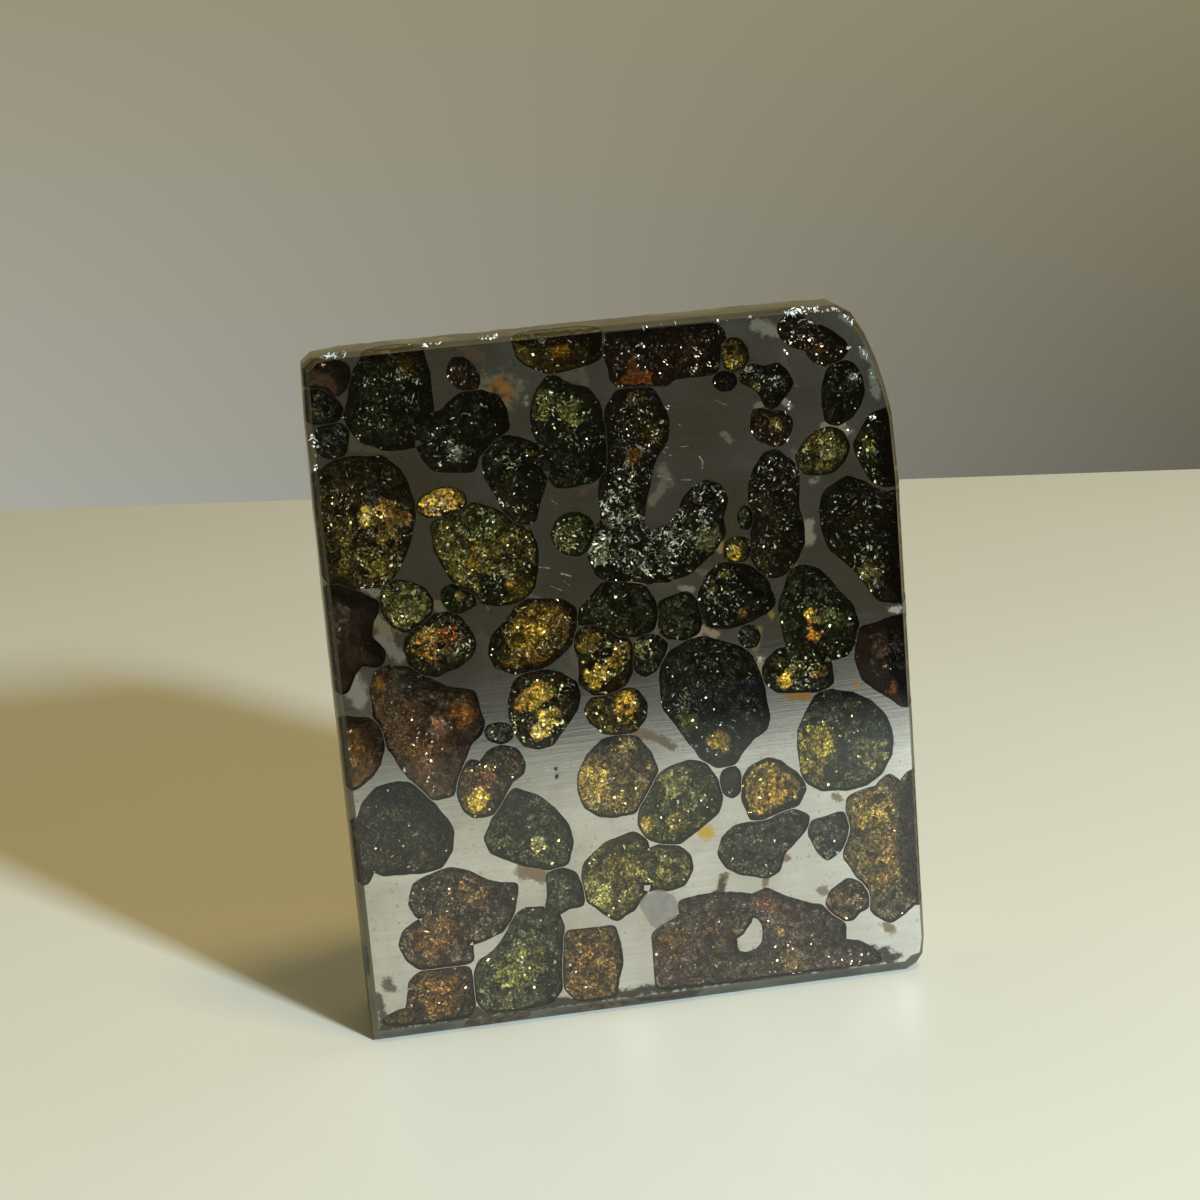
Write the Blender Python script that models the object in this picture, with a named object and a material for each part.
"""End cut of a pallasite meteorite: olivine crystals set in a matrix of nickel-iron.

The block stands on a flat sawn base. Its front is sawn flat and polished, its top and
sides are sawn, and its back is the weathered outside of the stone. Run it with
blender --background --python part.py, or from the text editor.

Outlines are points (u, z) in millimetres on the polished face: u runs to the right from
the middle of the face, z up from its lower edge. Depth y runs into the stone.
"""

import math

import bmesh
import bpy
import numpy as np
from mathutils import Vector

MM = 0.001

# Driving dimensions of the block, in millimetres.
FACE_HEIGHT = 60.5
FACE_HALF_WIDTH = 25.0
BEVEL_DEPTH = 0.8
BASE_BEVEL_HEIGHT = 1.2
TOP_BEVEL_HEIGHT = 0.35
EDGE_THICKNESS = 5.2
BULGE_THICKNESS = 14.5
BULGE_HEIGHT = 19.0

# Fit of the crystals in the metal.
POCKET_GAP = 0.3
LEAST_CRYSTAL_DEPTH = 1.3
DEPTH_PER_RADIUS = 0.95
MOST_SHARE_OF_THICKNESS = 0.55
SHOULDER_SHARE = 0.6
SHOULDER_WIDTH = 0.86
CUTTER_REACH = 1.5

# The weathered back.
BACK_CELLS_ACROSS = 26
BACK_CELLS_UP = 30
BACK_LUMPS = 46
BACK_PITS = 26
BACK_SEED = 41

# Outline of the polished face, and of the block behind its bevel, anticlockwise from
# the lower left corner.
FACE_OUTLINE = [
    (-25.0, 0.0), (23.3, 0.0), (23.9, 0.5), (24.7, 0.7), (24.95, 2.0), (24.9, 30.0),
    (24.85, 45.0), (24.6, 50.5), (24.1, 53.0), (23.4, 55.4), (22.5, 57.6), (21.5, 59.4),
    (20.5, 60.2), (17.0, 60.4), (5.0, FACE_HEIGHT), (-22.0, FACE_HEIGHT), (-24.2, 60.3),
    (-25.0, 59.6), (-25.15, 55.0), (-25.2, 45.0), (-25.1, 30.0), (-25.0, 15.0),
]
BODY_OUTLINE = [
    (-25.6, -BASE_BEVEL_HEIGHT), (23.6, -BASE_BEVEL_HEIGHT), (24.6, -0.7), (25.25, 0.2),
    (25.45, 2.0), (25.45, 30.0), (25.4, 45.0), (25.1, 50.7), (24.6, 53.2), (23.9, 55.7),
    (23.0, 58.0), (21.9, 59.9), (20.7, 60.65), (17.0, 60.8),
    (5.0, FACE_HEIGHT + TOP_BEVEL_HEIGHT), (-22.2, FACE_HEIGHT + TOP_BEVEL_HEIGHT),
    (-24.6, 60.6), (-25.5, 59.8), (-25.7, 55.0), (-25.75, 45.0), (-25.7, 30.0),
    (-25.6, 15.0),
]

# Base colours, read by eye: sRGB hex, roughness, metallic.
FINISHES = {
    "polished_metal": ("b9b6ac", 0.25, 1.0),
    "dark_olivine": ("2b2c22", 0.15, 0.0),
    "green_olivine": ("5a5a30", 0.12, 0.0),
    "gold_olivine": ("a8842c", 0.12, 0.0),
    "brown_olivine": ("4f3420", 0.2, 0.0),
    "grey_inclusion": ("9a9188", 0.5, 0.0),
}

# One entry for each crystal: name, finish, and its outlines. Crystals that grew into
# each other have an outline for each lobe, and the lobes overlap.
CRYSTALS = [
    ("corner_brown", "brown_olivine", [
        [(-26.6, 58.4), (-26.6, 60.2), (-25.0, 60.1), (-23.9, 60.2), (-22.5, 60.2),
         (-21.85, 59.8), (-21.75, 59.0), (-22.1, 58.2), (-22.9, 57.5), (-23.6, 58.2),
         (-24.6, 58.5)]]),
    ("left_grey_glitter", "dark_olivine", [
        [(-26.6, 57.9), (-24.7, 57.9), (-23.9, 57.6), (-23.2, 57.0), (-22.8, 56.2),
         (-23.1, 55.4), (-24.0, 55.2), (-25.0, 55.5), (-26.6, 55.5)]]),
    ("left_small_dark", "dark_olivine", [
        [(-24.8, 54.5), (-24.0, 54.8), (-23.0, 54.8), (-22.5, 54.2), (-22.6, 53.2),
         (-22.9, 52.5), (-23.9, 52.4), (-24.7, 52.7), (-24.9, 53.6)]]),
    ("upper_left_dark_pair", "dark_olivine", [
        [(-20.3, 62.5), (-20.3, 60.6), (-21.0, 59.3), (-21.5, 57.9), (-21.8, 56.6),
         (-22.2, 55.4), (-21.8, 54.3), (-21.0, 53.1), (-19.7, 52.6), (-18.4, 52.2),
         (-16.6, 52.3), (-15.4, 53.4), (-14.9, 55.4), (-14.9, 58.5), (-15.3, 60.6),
         (-15.4, 62.5)],
        [(-15.6, 54.8), (-14.2, 55.1), (-13.2, 55.9), (-12.0, 56.4), (-10.5, 56.3),
         (-9.2, 55.9), (-8.7, 54.6), (-8.7, 53.3), (-9.8, 52.5), (-10.8, 51.6),
         (-11.8, 51.0), (-12.2, 49.8), (-14.0, 49.9), (-15.4, 50.2), (-16.2, 51.3),
         (-16.6, 52.5), (-16.4, 53.9)]]),
    ("small_brown_oval", "brown_olivine", [
        [(-13.2, 58.7), (-12.8, 59.4), (-12.1, 59.4), (-11.4, 58.8), (-10.95, 57.8),
         (-11.1, 57.0), (-12.0, 56.95), (-12.9, 57.5), (-13.25, 58.1)]]),
    ("top_amber", "gold_olivine", [
        [(-8.0, 62.5), (-7.7, 60.6), (-7.4, 59.2), (-6.5, 58.3), (-5.2, 57.85),
         (-3.0, 57.7), (-1.2, 58.0), (-0.4, 58.5), (-0.3, 59.8), (-0.4, 60.6),
         (-0.6, 62.5)]]),
    ("green_gold_over_black", "green_olivine", [
        [(-4.9, 57.0), (-4.2, 56.8), (-3.0, 56.2), (-1.7, 55.8), (-1.0, 54.8),
         (-0.8, 53.4), (-0.5, 52.2), (-0.6, 50.0), (-0.9, 48.5), (-2.0, 47.7),
         (-3.5, 47.4), (-5.0, 47.5), (-5.8, 48.9), (-5.9, 51.0), (-6.6, 52.8),
         (-6.5, 54.6), (-5.9, 56.2)],
        [(-10.8, 50.9), (-10.2, 51.8), (-9.2, 52.3), (-7.9, 52.1), (-6.6, 51.5),
         (-5.4, 50.9), (-5.5, 49.2), (-6.0, 47.9), (-6.6, 46.5), (-7.2, 44.9),
         (-8.2, 44.8), (-9.3, 46.0), (-10.1, 47.3), (-10.9, 49.0)]]),
    ("top_long_brown", "brown_olivine", [
        [(0.2, 60.2), (0.2, 58.6), (0.3, 57.3), (0.3, 56.5), (0.9, 55.9), (2.2, 55.8),
         (4.2, 55.75), (5.2, 55.5), (6.0, 55.95), (8.6, 56.0), (9.7, 56.3),
         (10.1, 57.6), (10.1, 58.6), (10.7, 59.1), (10.3, 59.9), (9.4, 60.3),
         (5.0, 60.4), (1.2, 60.4)]]),
    ("red_brown_column_and_crush", "brown_olivine", [
        [(0.9, 55.2), (2.4, 55.35), (3.8, 55.2), (4.6, 54.0), (5.1, 52.6), (4.9, 50.9),
         (4.0, 49.6), (3.4, 48.6), (3.0, 47.0), (2.5, 45.5), (2.1, 43.5), (0.5, 42.9),
         (-1.2, 43.9), (-1.25, 46.2), (-0.9, 47.6), (-0.2, 48.5), (0.0, 50.5),
         (-0.1, 53.2), (0.3, 54.3)],
        [(-1.4, 44.0), (-2.2, 42.4), (-2.6, 41.0), (-2.2, 39.7), (-1.1, 39.0),
         (0.8, 38.9), (2.8, 38.4), (4.4, 38.2), (4.8, 40.5), (4.2, 42.9), (2.9, 42.6),
         (1.9, 43.9), (0.4, 44.4)],
        [(3.6, 42.8), (4.8, 43.3), (5.6, 44.2), (6.1, 45.3), (7.0, 46.3), (8.2, 46.7),
         (9.3, 46.1), (9.7, 44.9), (9.2, 43.4), (9.2, 42.0), (8.6, 41.3), (8.1, 40.3),
         (6.8, 39.3), (5.6, 38.5), (4.2, 38.3), (3.4, 40.4)]]),
    ("small_yellow_green", "gold_olivine", [
        [(10.6, 58.1), (11.0, 58.6), (11.7, 58.5), (12.2, 57.9), (12.3, 57.1),
         (11.9, 56.3), (11.1, 56.1), (10.6, 56.5), (10.5, 57.3)]]),
    ("dark_tear", "dark_olivine", [
        [(11.8, 55.3), (12.0, 56.0), (12.7, 56.1), (13.8, 55.95), (15.0, 56.1),
         (15.7, 55.5), (16.15, 54.4), (15.5, 53.5), (14.7, 52.8), (14.2, 52.5),
         (13.7, 53.2), (13.1, 54.3)]]),
    ("brown_pair", "brown_olivine", [
        [(15.3, 59.4), (15.8, 60.0), (17.0, 60.1), (18.0, 59.6), (18.6, 58.9),
         (18.4, 57.6), (17.3, 57.35), (16.3, 57.8), (15.5, 58.6)],
        [(17.7, 58.9), (18.9, 59.0), (20.0, 58.3), (20.9, 57.5), (21.1, 56.9),
         (20.4, 56.1), (19.2, 55.85), (18.2, 56.2), (17.6, 57.2)]]),
    ("right_black_oval", "dark_olivine", [
        [(20.6, 55.8), (21.6, 55.4), (22.2, 54.4), (22.35, 53.1), (21.9, 51.9),
         (21.1, 50.9), (20.0, 50.55), (19.1, 50.9), (18.85, 52.2), (18.95, 53.9),
         (19.6, 55.2)]]),
    ("brown_trapezoid", "brown_olivine", [
        [(12.7, 52.25), (13.8, 51.95), (15.3, 51.7), (15.85, 51.1), (15.7, 50.3),
         (14.9, 49.4), (14.0, 49.5), (12.9, 49.9), (12.4, 50.9)]]),
    ("green_gold_gem", "green_olivine", [
        [(16.3, 48.0), (17.0, 49.1), (18.0, 49.8), (19.2, 49.95), (20.3, 49.5),
         (20.6, 48.5), (20.3, 47.2), (19.3, 46.4), (18.0, 46.2), (17.0, 46.5),
         (16.5, 47.3)]]),
    ("right_edge_green_gold", "green_olivine", [
        [(26.8, 51.6), (24.4, 51.4), (23.2, 51.0), (22.3, 50.0), (21.6, 48.6),
         (21.7, 47.4), (22.2, 46.2), (23.0, 45.2), (24.0, 44.7), (26.8, 44.8)]]),
    ("dark_column", "dark_olivine", [
        [(13.4, 48.5), (14.4, 48.6), (15.2, 47.9), (15.9, 46.9), (16.0, 45.0),
         (15.9, 43.4), (16.25, 41.8), (16.2, 40.0), (15.4, 38.9), (14.6, 37.8),
         (13.5, 37.5), (12.5, 38.2), (11.8, 39.4), (11.95, 41.2), (12.05, 43.4),
         (11.9, 46.0), (12.5, 47.5)]]),
    ("right_large_dark", "dark_olivine", [
        [(20.5, 45.7), (21.6, 45.1), (22.7, 44.2), (24.0, 43.6), (26.8, 43.4),
         (26.8, 34.1), (24.2, 33.9), (23.0, 34.2), (22.1, 35.4), (21.1, 37.0),
         (19.7, 38.5), (18.6, 39.6), (18.1, 41.2), (18.0, 43.2), (18.5, 44.7)]]),
    ("left_large_gold_foot", "gold_olivine", [
        [(-26.8, 50.9), (-25.0, 51.2), (-23.5, 51.8), (-21.5, 52.0), (-19.6, 51.7),
         (-18.3, 50.7), (-17.7, 49.3), (-17.5, 47.6), (-17.6, 45.4), (-18.3, 43.5),
         (-19.1, 42.0), (-20.0, 41.2), (-21.4, 40.6), (-23.1, 40.8), (-24.6, 41.5),
         (-26.8, 41.6)]]),
    ("small_gold_cap", "gold_olivine", [
        [(-16.9, 46.9), (-16.4, 47.8), (-15.3, 48.3), (-14.0, 48.4), (-13.1, 47.8),
         (-13.0, 47.1), (-13.9, 46.6), (-15.2, 46.4), (-16.2, 46.5)]]),
    ("large_green_gold", "green_olivine", [
        [(-16.0, 45.2), (-15.0, 46.0), (-13.3, 46.2), (-12.3, 46.8), (-11.2, 46.5),
         (-10.0, 45.5), (-8.9, 44.3), (-7.6, 43.8), (-7.1, 42.6), (-7.2, 40.8),
         (-7.7, 39.0), (-8.9, 38.1), (-10.8, 37.7), (-12.2, 38.2), (-13.0, 39.2),
         (-14.1, 39.9), (-15.1, 41.4), (-15.9, 43.2)]]),
    ("round_green", "green_olivine", [
        [(-2.2, 43.3), (-2.5, 44.4), (-3.3, 45.0), (-4.3, 45.05), (-5.2, 44.5),
         (-5.65, 43.4), (-5.4, 42.4), (-4.6, 41.7), (-3.6, 41.5), (-2.7, 42.1)]]),
    ("left_edge_brown_slab", "brown_olivine", [
        [(-26.8, 41.0), (-24.8, 40.9), (-23.8, 40.5), (-22.6, 39.9), (-21.3, 39.2),
         (-21.9, 37.9), (-22.3, 36.2), (-21.6, 35.3), (-21.2, 34.6), (-21.7, 33.8),
         (-23.2, 33.9), (-24.1, 33.0), (-24.9, 31.5), (-26.8, 31.3)]]),
    ("green_gold_oval", "gold_olivine", [
        [(-20.9, 39.0), (-20.4, 40.1), (-19.4, 40.7), (-18.2, 40.5), (-17.1, 39.8),
         (-16.7, 38.8), (-17.0, 37.7), (-17.9, 36.9), (-19.0, 36.5), (-20.1, 37.0),
         (-20.6, 38.1)]]),
    ("small_green_wedge", "green_olivine", [
        [(-15.5, 39.5), (-14.8, 39.8), (-13.9, 39.3), (-13.0, 38.7), (-13.0, 38.1),
         (-14.3, 37.8), (-15.0, 38.0), (-15.5, 38.8)]]),
    ("amber_oval_dark_rim", "gold_olivine", [
        [(-19.3, 34.9), (-18.8, 35.9), (-17.6, 36.6), (-16.4, 37.3), (-15.3, 37.4),
         (-14.3, 36.8), (-13.5, 35.6), (-13.2, 34.5), (-13.7, 33.5), (-15.0, 32.7),
         (-16.6, 32.3), (-18.0, 32.6), (-19.0, 33.7)]]),
    ("amber_leaf", "gold_olivine", [
        [(-12.1, 33.5), (-11.7, 35.0), (-10.5, 36.0), (-9.4, 37.0), (-8.2, 37.7),
         (-6.6, 37.7), (-5.2, 37.5), (-4.4, 36.6), (-4.5, 35.2), (-5.0, 33.7),
         (-6.0, 32.6), (-7.8, 31.9), (-10.3, 31.7), (-11.7, 32.3)]]),
    ("dark_green_cap", "dark_olivine", [
        [(-4.0, 35.4), (-3.6, 36.5), (-2.6, 37.7), (-1.6, 38.5), (0.0, 38.2),
         (1.8, 37.8), (2.5, 36.8), (2.8, 35.5), (2.3, 34.2), (1.0, 33.8), (-0.4, 33.9),
         (-1.5, 34.8), (-2.8, 35.3)]]),
    ("amber_split", "gold_olivine", [
        [(-4.3, 34.2), (-3.4, 34.9), (-2.0, 34.6), (-0.9, 33.5), (0.1, 33.3),
         (0.4, 32.2), (0.1, 30.6), (-0.6, 29.4), (-1.9, 28.7), (-3.2, 28.9),
         (-4.1, 29.9), (-4.25, 32.0)]]),
    ("small_dark_wedge", "dark_olivine", [
        [(0.8, 32.7), (1.5, 33.3), (2.6, 33.1), (3.2, 32.5), (2.9, 31.5), (2.2, 30.5),
         (1.4, 30.0), (0.8, 30.6), (0.7, 31.7)]]),
    ("dark_block", "dark_olivine", [
        [(3.3, 34.0), (3.3, 36.2), (4.4, 36.7), (5.6, 36.9), (6.3, 35.7), (6.5, 34.4),
         (6.2, 33.4), (5.0, 33.1), (3.8, 33.3)]]),
    ("dark_with_gold_flecks", "dark_olivine", [
        [(6.9, 36.8), (7.5, 38.2), (8.6, 39.0), (10.0, 39.0), (11.2, 38.4),
         (12.3, 37.5), (12.9, 36.6), (13.2, 35.2), (12.6, 34.4), (10.6, 33.9),
         (8.8, 33.4), (7.5, 33.8), (6.9, 35.2)]]),
    ("small_gold_nugget", "gold_olivine", [
        [(9.5, 40.4), (9.8, 41.0), (10.6, 41.1), (11.3, 40.8), (11.4, 40.1),
         (10.9, 39.6), (10.0, 39.4), (9.5, 39.7)]]),
    ("large_black", "dark_olivine", [
        [(3.9, 31.8), (5.4, 32.4), (7.0, 32.7), (8.6, 32.1), (9.9, 31.3), (11.0, 30.4),
         (11.4, 28.6), (11.9, 26.6), (12.2, 24.8), (11.9, 23.7), (10.6, 22.9),
         (9.5, 21.8), (8.7, 20.9), (7.3, 20.9), (6.0, 21.9), (4.9, 23.3), (3.8, 25.2),
         (2.8, 26.9), (2.7, 29.2), (3.1, 30.8)]]),
    ("green_amber_pair", "green_olivine", [
        [(15.2, 37.9), (16.2, 38.1), (17.4, 37.7), (18.4, 36.5), (19.4, 35.1),
         (20.3, 34.0), (20.6, 32.4), (20.2, 30.9), (19.4, 29.6), (18.0, 29.3),
         (16.0, 29.9), (14.3, 30.6), (14.0, 32.5), (13.9, 34.3), (14.3, 36.0)],
        [(12.4, 30.0), (13.4, 30.8), (15.4, 30.9), (17.4, 30.2), (18.1, 28.9),
         (18.1, 27.4), (16.8, 26.9), (14.6, 26.9), (13.2, 27.1), (12.3, 28.1),
         (12.1, 29.1)]]),
    ("right_edge_brown_black", "brown_olivine", [
        [(21.0, 31.8), (22.4, 32.2), (24.0, 32.6), (26.8, 32.8), (26.8, 24.2),
         (24.5, 24.3), (23.4, 25.2), (22.0, 26.3), (20.9, 27.4), (20.5, 29.0),
         (20.9, 30.8)]]),
    ("two_gold_lobes", "gold_olivine", [
        [(-10.7, 29.0), (-10.2, 30.5), (-9.2, 31.1), (-7.5, 31.2), (-6.0, 31.0),
         (-5.0, 30.0), (-4.65, 28.8), (-5.1, 27.4), (-6.2, 26.0), (-7.3, 24.7),
         (-8.5, 24.4), (-9.6, 24.9), (-10.3, 26.4), (-10.7, 27.8)]]),
    ("gold_amber_oval", "gold_olivine", [
        [(-4.0, 27.3), (-3.5, 28.1), (-2.0, 28.3), (-0.4, 28.7), (0.6, 28.5),
         (1.3, 27.4), (1.1, 26.1), (0.2, 25.25), (-1.2, 25.05), (-2.7, 25.4),
         (-3.8, 26.4)]]),
    ("large_brown", "brown_olivine", [
        [(-22.6, 31.6), (-22.1, 32.9), (-20.9, 33.4), (-19.4, 33.0), (-17.8, 31.8),
         (-16.0, 30.9), (-13.7, 30.3), (-13.4, 28.8), (-13.2, 27.0), (-14.4, 25.7),
         (-15.4, 24.2), (-16.3, 22.4), (-16.6, 21.1), (-18.1, 21.0), (-18.9, 22.0),
         (-19.8, 23.2), (-20.7, 24.3), (-21.3, 26.0), (-21.7, 27.7), (-22.4, 29.3)]]),
    ("left_edge_orange", "brown_olivine", [
        [(-26.8, 29.3), (-24.8, 29.3), (-23.3, 28.9), (-22.4, 28.1), (-22.3, 26.4),
         (-22.6, 24.8), (-23.5, 23.7), (-24.9, 22.8), (-26.8, 22.3)]]),
    ("two_lobed_amber", "gold_olivine", [
        [(-15.8, 21.3), (-15.3, 22.8), (-14.6, 23.9), (-13.8, 23.7), (-12.9, 24.6),
         (-11.7, 24.9), (-10.5, 24.4), (-9.9, 23.3), (-10.1, 22.5), (-11.4, 21.9),
         (-11.9, 21.2), (-12.4, 20.0), (-13.2, 19.1), (-14.8, 18.85), (-15.6, 19.6)]]),
    ("left_dark_round", "dark_olivine", [
        [(-26.8, 19.4), (-25.0, 19.9), (-24.3, 21.4), (-23.0, 22.6), (-21.5, 22.9),
         (-20.1, 22.5), (-19.2, 21.7), (-18.3, 20.4), (-17.2, 19.0), (-16.7, 17.8),
         (-17.0, 16.0), (-18.1, 14.9), (-20.6, 14.5), (-23.2, 14.6), (-24.2, 15.2),
         (-25.0, 14.0), (-26.8, 13.4)]]),
    ("green_black_kite", "dark_olivine", [
        [(-10.9, 20.9), (-9.2, 20.2), (-7.7, 18.8), (-6.6, 17.1), (-6.25, 15.4),
         (-6.9, 13.6), (-8.6, 13.4), (-10.5, 13.8), (-12.1, 14.6), (-13.6, 15.5),
         (-14.0, 16.8), (-12.9, 18.5), (-11.8, 20.1)]]),
    ("green_gold_foot", "green_olivine", [
        [(-15.4, 5.2), (-14.0, 6.2), (-12.6, 7.5), (-11.8, 9.0), (-10.8, 9.8),
         (-9.2, 9.7), (-8.1, 9.4), (-7.9, 8.0), (-8.1, 5.8), (-8.4, 3.5), (-8.5, 1.9),
         (-9.4, 0.6), (-12.0, 0.3), (-15.2, 0.4), (-16.0, 1.6), (-16.0, 3.8)],
        [(-8.6, 12.6), (-7.4, 12.9), (-6.5, 12.4), (-6.0, 11.2), (-5.95, 9.6),
         (-7.2, 9.4), (-8.4, 8.7), (-9.2, 9.2), (-8.8, 10.6)]]),
    ("lower_left_dark_and_brown", "brown_olivine", [
        [(-21.3, 11.6), (-20.7, 13.3), (-19.0, 13.8), (-17.2, 14.3), (-15.8, 13.9),
         (-14.2, 12.8), (-12.8, 12.3), (-11.5, 12.1), (-11.7, 10.9), (-12.4, 9.2),
         (-13.4, 8.1), (-14.7, 7.4), (-16.0, 7.1), (-18.0, 8.0), (-20.0, 9.6),
         (-20.8, 10.6)],
        [(-22.4, 7.9), (-22.0, 9.0), (-20.8, 9.8), (-19.0, 10.4), (-17.0, 9.4),
         (-16.0, 7.7), (-16.2, 5.7), (-17.8, 5.4), (-20.6, 5.5), (-21.9, 6.4)]]),
    ("lower_left_orange", "brown_olivine", [
        [(-24.7, 0.8), (-23.4, 1.4), (-22.4, 1.6), (-22.1, 2.8), (-21.8, 4.2),
         (-20.8, 4.9), (-18.4, 5.0), (-16.6, 4.8), (-16.4, 3.2), (-16.4, 1.4),
         (-16.9, 0.4), (-20.0, 0.3), (-23.4, 0.4)]]),
    ("lower_orange_brown", "brown_olivine", [
        [(-7.4, 7.0), (-5.2, 7.1), (-3.3, 6.9), (-2.85, 5.4), (-2.8, 3.4), (-3.3, 1.8),
         (-3.7, 0.4), (-5.6, 0.3), (-7.1, 0.5), (-7.9, 1.8), (-8.0, 3.6), (-7.7, 5.6)]]),
    ("lower_red_brown_cluster", "brown_olivine", [
        [(0.2, 5.4), (0.9, 6.2), (2.0, 6.8), (3.0, 7.4), (3.0, 8.5), (4.4, 8.8),
         (6.2, 8.9), (7.4, 8.8), (8.0, 8.0), (8.6, 6.4), (7.6, 4.9), (7.6, 3.3),
         (8.4, 2.6), (8.6, 0.3), (4.0, 0.3), (0.3, 0.5), (0.2, 3.0)],
        [(7.0, 8.9), (9.3, 8.3), (10.8, 8.7), (12.4, 7.7), (14.0, 7.0), (15.6, 6.3),
         (16.6, 5.2), (17.8, 4.3), (17.9, 2.6), (19.3, 2.2), (20.4, 1.5), (21.2, 0.4),
         (17.0, 0.3), (7.8, 0.3), (7.8, 2.7), (9.6, 3.0), (10.3, 4.4), (9.8, 6.0),
         (8.4, 6.2), (7.4, 7.2)]]),
    ("lower_right_small_brown", "brown_olivine", [
        [(16.8, 7.6), (18.3, 8.5), (19.5, 7.9), (20.1, 6.9), (20.1, 5.9), (19.4, 5.6),
         (18.6, 4.9), (17.9, 4.9), (17.1, 5.7), (16.5, 6.6)]]),
    ("right_edge_amber_brown", "gold_olivine", [
        [(19.0, 16.3), (20.4, 16.7), (21.6, 17.0), (22.9, 18.0), (23.9, 17.3),
         (24.9, 18.2), (26.8, 18.6), (26.8, 6.4), (24.6, 5.4), (23.4, 4.5), (22.2, 3.9),
         (21.2, 4.5), (20.6, 5.4), (20.6, 7.2), (19.6, 8.8), (18.4, 10.6), (18.6, 11.8),
         (19.1, 13.3), (18.9, 15.0)]]),
    ("dark_trapezoid", "dark_olivine", [
        [(15.3, 13.3), (15.6, 14.4), (17.0, 14.8), (18.3, 14.9), (18.7, 13.8),
         (18.3, 12.4), (17.5, 11.5), (16.7, 10.8), (15.9, 11.7)]]),
    ("dark_comma", "dark_olivine", [
        [(6.7, 12.6), (7.2, 14.0), (8.3, 14.9), (10.2, 14.9), (11.6, 15.0),
         (12.7, 15.5), (13.9, 15.7), (15.1, 15.1), (14.9, 14.4), (13.8, 13.0),
         (12.6, 11.8), (12.1, 10.3), (11.0, 9.8), (9.8, 10.2), (8.6, 10.5),
         (7.3, 11.3)]]),
    ("orange_gold_gem", "gold_olivine", [
        [(9.4, 19.2), (10.4, 20.4), (11.8, 20.9), (12.9, 20.5), (13.9, 19.4),
         (14.6, 18.5), (14.9, 17.6), (14.3, 16.5), (12.8, 16.05), (11.0, 15.5),
         (10.0, 15.6), (9.5, 16.9), (9.4, 18.2)]]),
    ("round_black", "dark_olivine", [
        [(7.7, 19.3), (8.0, 20.1), (8.7, 20.3), (9.1, 19.4), (9.0, 18.3), (8.4, 18.0),
         (7.8, 18.4)]]),
    ("large_green_and_gold", "green_olivine", [
        [(14.9, 19.8), (14.65, 21.5), (14.8, 23.2), (15.6, 24.8), (16.6, 26.1),
         (18.0, 26.45), (19.8, 26.1), (21.5, 25.1), (22.8, 23.5), (23.3, 21.6),
         (23.1, 19.9), (22.1, 18.6), (20.6, 17.6), (18.4, 17.25), (16.5, 17.4),
         (15.3, 18.5)]]),
    ("large_gold_green", "gold_olivine", [
        [(-5.3, 20.0), (-5.2, 21.6), (-4.3, 23.2), (-3.0, 24.3), (-1.3, 24.6),
         (0.3, 24.2), (1.3, 22.9), (1.7, 21.2), (1.1, 20.0), (0.3, 18.8), (-0.6, 17.6),
         (-2.2, 17.3), (-3.7, 17.6), (-4.9, 18.5)]]),
    ("green_gold_knuckle", "green_olivine", [
        [(2.0, 20.5), (3.2, 21.3), (4.7, 21.6), (6.1, 20.9), (7.0, 19.5), (7.35, 18.0),
         (7.0, 16.6), (5.8, 15.7), (4.4, 14.8), (3.3, 14.3), (1.8, 14.4), (0.6, 15.1),
         (-0.1, 16.3), (0.2, 17.8), (1.1, 19.2)]]),
    ("gold_green_and_small", "gold_olivine", [
        [(-3.4, 14.9), (-2.0, 15.3), (-0.8, 15.6), (0.2, 14.6), (0.7, 12.8),
         (0.4, 10.8), (-0.6, 9.3), (-1.6, 8.3), (-2.8, 7.7), (-4.0, 8.4), (-5.2, 9.8),
         (-5.45, 11.6), (-5.3, 13.3)],
        [(0.0, 13.6), (1.4, 13.9), (3.1, 13.5), (4.1, 12.7), (4.2, 11.5), (3.4, 10.2),
         (1.6, 10.05), (0.0, 10.3), (-0.6, 12.0)]]),
    ("grey_round_inclusion", "grey_inclusion", [
        [(-0.5, 8.8), (0.2, 9.4), (1.2, 9.5), (2.1, 8.9), (2.5, 8.1), (2.3, 7.4),
         (1.3, 7.1), (0.5, 6.6), (0.1, 7.4)]]),
]


def clear_scene():
    for obj in list(bpy.data.objects):
        bpy.data.objects.remove(obj, do_unlink=True)


def linear(hex_colour):
    """The linear RGBA of an sRGB hex colour."""
    channels = [int(hex_colour[i:i + 2], 16) / 255 for i in (0, 2, 4)]
    return [c / 12.92 if c <= 0.04045 else ((c + 0.055) / 1.055) ** 2.4 for c in channels] + [1]


def make_finish(name):
    hex_colour, roughness, metallic = FINISHES[name]
    finish = bpy.data.materials.new(name)
    finish.use_nodes = True
    shader = finish.node_tree.nodes["Principled BSDF"]
    shader.inputs["Base Color"].default_value = linear(hex_colour)
    shader.inputs["Roughness"].default_value = roughness
    shader.inputs["Metallic"].default_value = metallic
    return finish


def make_object(name, points, faces, finish=None):
    """An object from points in millimetres, with its faces turned to point out."""
    mesh = bpy.data.meshes.new(name)
    mesh.from_pydata([Vector(point) * MM for point in points], [], faces)
    shape = bmesh.new()
    shape.from_mesh(mesh)
    bmesh.ops.recalc_face_normals(shape, faces=shape.faces)
    shape.to_mesh(mesh)
    shape.free()
    if finish:
        mesh.materials.append(finish)
    obj = bpy.data.objects.new(name, mesh)
    bpy.context.scene.collection.objects.link(obj)
    return obj


def make_cutter(name, points, faces):
    cutter = make_object(name, points, faces)
    cutter.hide_render = True
    cutter.display_type = "WIRE"
    return cutter


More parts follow.
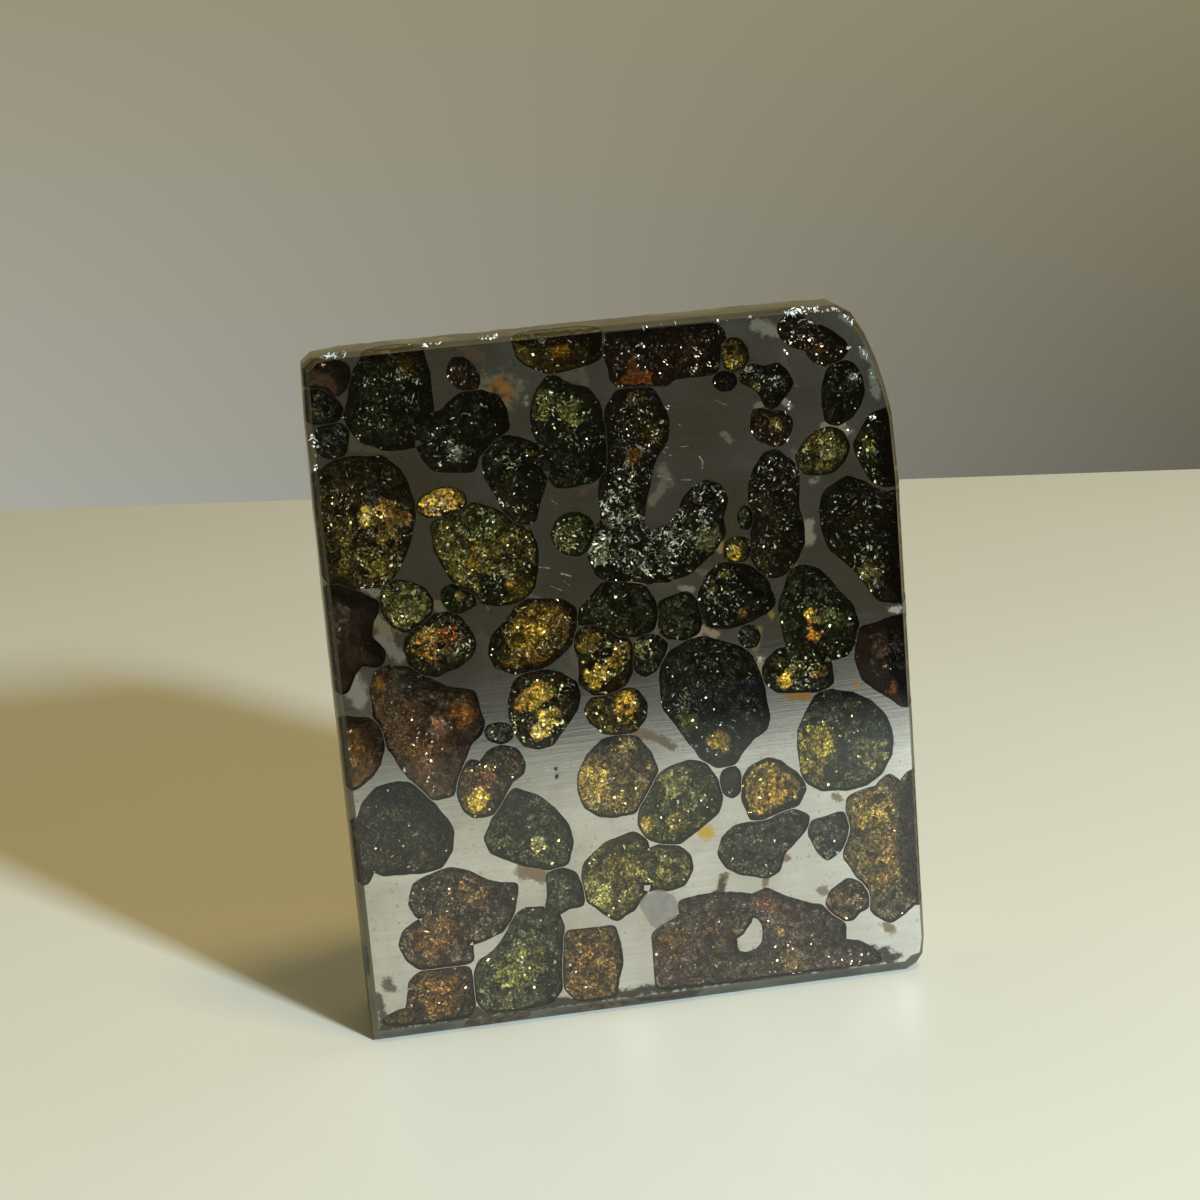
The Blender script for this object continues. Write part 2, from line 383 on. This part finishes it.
def add_boolean(obj, operation, other):
    modifier = obj.modifiers.new(f"{operation.lower()} {other.name}", "BOOLEAN")
    modifier.operation = operation
    modifier.solver = "EXACT"
    modifier.object = other
    return modifier


def loft(rings):
    """Points and faces of a closed stack of like rings, of which the last may be a point."""
    count = len(rings[0])
    points = [point for ring in rings for point in ring]
    faces = [tuple(range(count))]
    for level, ring in enumerate(rings[1:]):
        for i in range(count):
            j = (i + 1) % count
            low, high = level * count, (level + 1) * count
            if len(ring) == 1:
                faces.append((low + i, low + j, high))
            else:
                faces.append((low + i, low + j, high + j, high + i))
    if len(rings[-1]) > 1:
        faces.append(tuple(range(len(points) - count, len(points))))
    return points, faces


def side_profile(z):
    """How far the back bulges at height z, from 0 to 1."""
    span = (FACE_HEIGHT - BULGE_HEIGHT) if z > BULGE_HEIGHT else 2.1 * BULGE_HEIGHT
    return max(0.0, math.cos(0.5 * math.pi * (z - BULGE_HEIGHT) / span)) ** 1.15


def thickness(x, z, bumps):
    """Depth of the weathered back behind the polished face, in millimetres."""
    across = math.cos(0.5 * math.pi * (x + 1.5) / (1.22 * FACE_HALF_WIDTH + 1.5))
    depth = EDGE_THICKNESS + BULGE_THICKNESS * side_profile(z) * (0.28 + 0.72 * across)
    for centre_x, centre_z, radius, height in bumps:
        near = math.hypot(x - centre_x, z - centre_z) / radius
        if near < 1:
            depth += height * (1 - near * near) ** 1.5
    return depth


def back_bumps():
    """Crystals that stand proud of the weathered back, and pits where others fell out."""
    pick = np.random.default_rng(BACK_SEED)
    bumps = []
    for number in range(BACK_LUMPS + BACK_PITS):
        lump = number < BACK_LUMPS
        centre_x = pick.uniform(-FACE_HALF_WIDTH, FACE_HALF_WIDTH)
        centre_z = pick.uniform(2, FACE_HEIGHT - 6)
        radius = pick.uniform(3.0, 5.2) if lump else pick.uniform(2.6, 4.0)
        height = pick.uniform(0.8, 1.7) if lump else -pick.uniform(0.7, 1.4)
        bumps.append((centre_x, centre_z, radius, height))
    return bumps


def make_prism(face_y, shift_x):
    """The sawn sides, top, base and bevelled front, run back past the stone."""
    last_y = 2 * (EDGE_THICKNESS + BULGE_THICKNESS)
    rings = []
    for outline, y in ((FACE_OUTLINE, 0), (BODY_OUTLINE, BEVEL_DEPTH), (BODY_OUTLINE, last_y)):
        rings.append([(x + shift_x, y + face_y, z + BASE_BEVEL_HEIGHT) for x, z in outline])
    return loft(rings)


def back_relief():
    """Grid of (x, z, thickness) rows over the whole back, in face millimetres."""
    bumps = back_bumps()
    reach = FACE_HALF_WIDTH + 2
    rows = []
    for k in range(BACK_CELLS_UP + 1):
        z = -3 + (FACE_HEIGHT + 6) * k / BACK_CELLS_UP
        row = []
        for i in range(BACK_CELLS_ACROSS + 1):
            x = -reach + 2 * reach * i / BACK_CELLS_ACROSS
            row.append((x, z, thickness(x, z, bumps)))
        rows.append(row)
    return rows


def make_relief(rows, face_y, shift_x):
    """A slab whose back is the weathered surface and whose front is clear of the face."""
    across, up = len(rows[0]), len(rows)
    front_y = face_y - CUTTER_REACH
    points = [(x + shift_x, d + face_y, z + BASE_BEVEL_HEIGHT) for row in rows for x, z, d in row]
    faces = []
    for k in range(up - 1):
        for i in range(across - 1):
            a = k * across + i
            faces.append((a, a + 1, a + across + 1))
            faces.append((a, a + across + 1, a + across))
    rim = [i for i in range(across)]
    rim += [k * across + across - 1 for k in range(1, up)]
    rim += [(up - 1) * across + i for i in range(across - 2, -1, -1)]
    rim += [k * across for k in range(up - 2, 0, -1)]
    first = len(points)
    points += [(points[i][0], front_y, points[i][2]) for i in rim]
    for n, low in enumerate(rim):
        m = (n + 1) % len(rim)
        faces.append((low, rim[m], first + m, first + n))
    faces.append(tuple(range(first, first + len(rim))))
    return points, faces


def grown(outline, gap):
    """The outline moved outwards by the gap, with its corners kept."""
    count = len(outline)
    area = sum(
        outline[i][0] * outline[(i + 1) % count][1] - outline[(i + 1) % count][0] * outline[i][1]
        for i in range(count)
    )
    turn = 1 if area > 0 else -1
    moved = []
    for i in range(count):
        before, here, after = (Vector(outline[(i + k) % count]) for k in (-1, 0, 1))
        ahead, behind = (after - here).normalized(), (here - before).normalized()
        normals = [Vector((way.y, -way.x)) * turn for way in (behind, ahead)]
        middle = (normals[0] + normals[1]).normalized()
        reach = gap / max(0.6, middle.dot(normals[0]))
        moved.append(tuple(here + middle * reach))
    return moved


def outline_radius(outline):
    count = len(outline)
    area = 0.5 * sum(
        outline[i][0] * outline[(i + 1) % count][1] - outline[(i + 1) % count][0] * outline[i][1]
        for i in range(count)
    )
    return math.sqrt(abs(area) / math.pi)


def crystal_form(outline, gap, face_y, shift_x, bumps):
    """A grain that is widest at the polished face and closes to a blunt end inside."""
    middle = [sum(point[axis] for point in outline) / len(outline) for axis in (0, 1)]
    room = min(
        thickness(middle[0], middle[1], bumps),
        thickness(middle[0], min(max(z for _, z in outline), FACE_HEIGHT), bumps),
    )
    depth = max(LEAST_CRYSTAL_DEPTH, DEPTH_PER_RADIUS * outline_radius(outline))
    depth = min(depth, MOST_SHARE_OF_THICKNESS * room)
    rings = []
    for share, width in ((None, 1.0), (SHOULDER_SHARE, SHOULDER_WIDTH), (1.0, 0.0)):
        y = -CUTTER_REACH if share is None else share * depth + gap
        ring = []
        for x, z in grown(outline, gap) if width else [middle]:
            wide_x = middle[0] + (x - middle[0]) * width
            wide_z = middle[1] + (z - middle[1]) * width
            ring.append((wide_x + shift_x, y + face_y, wide_z + BASE_BEVEL_HEIGHT))
        rings.append(ring)
    return loft(rings)


def main():
    clear_scene()
    finishes = {name: make_finish(name) for name in FINISHES}
    rows = back_relief()
    bumps = back_bumps()
    inside = [d for row in rows for x, z, d in row if abs(x) < FACE_HALF_WIDTH and 0 < z < 60]
    face_y = -max(inside) / 2
    widest = [x for x, _ in BODY_OUTLINE]
    shift_x = -(max(widest) + min(widest)) / 2

    block = make_cutter("whole_block", *make_prism(face_y, shift_x))
    relief = make_cutter("back_relief", *make_relief(rows, face_y, shift_x))
    metal = make_object("metal_matrix", *make_prism(face_y, shift_x), finishes["polished_metal"])
    for shape in (block, metal):
        add_boolean(shape, "INTERSECT", relief)

    pockets = bpy.data.collections.new("pockets")
    pockets.hide_render = True
    bpy.context.scene.collection.children.link(pockets)
    for name, finish, lobes in CRYSTALS:
        crystal = None
        for number, outline in enumerate(lobes):
            solid = crystal_form(outline, 0, face_y, shift_x, bumps)
            if crystal is None:
                crystal = make_object(name, *solid, finishes[finish])
            else:
                add_boolean(crystal, "UNION", make_cutter(f"{name}_lobe_{number}", *solid))
            form = crystal_form(outline, POCKET_GAP, face_y, shift_x, bumps)
            pocket = make_cutter(f"{name}_pocket_{number}", *form)
            bpy.context.scene.collection.objects.unlink(pocket)
            pockets.objects.link(pocket)
        add_boolean(crystal, "INTERSECT", block)
    cut = metal.modifiers.new("pockets", "BOOLEAN")
    cut.operation = "DIFFERENCE"
    cut.solver = "EXACT"
    cut.operand_type = "COLLECTION"
    cut.collection = pockets


main()
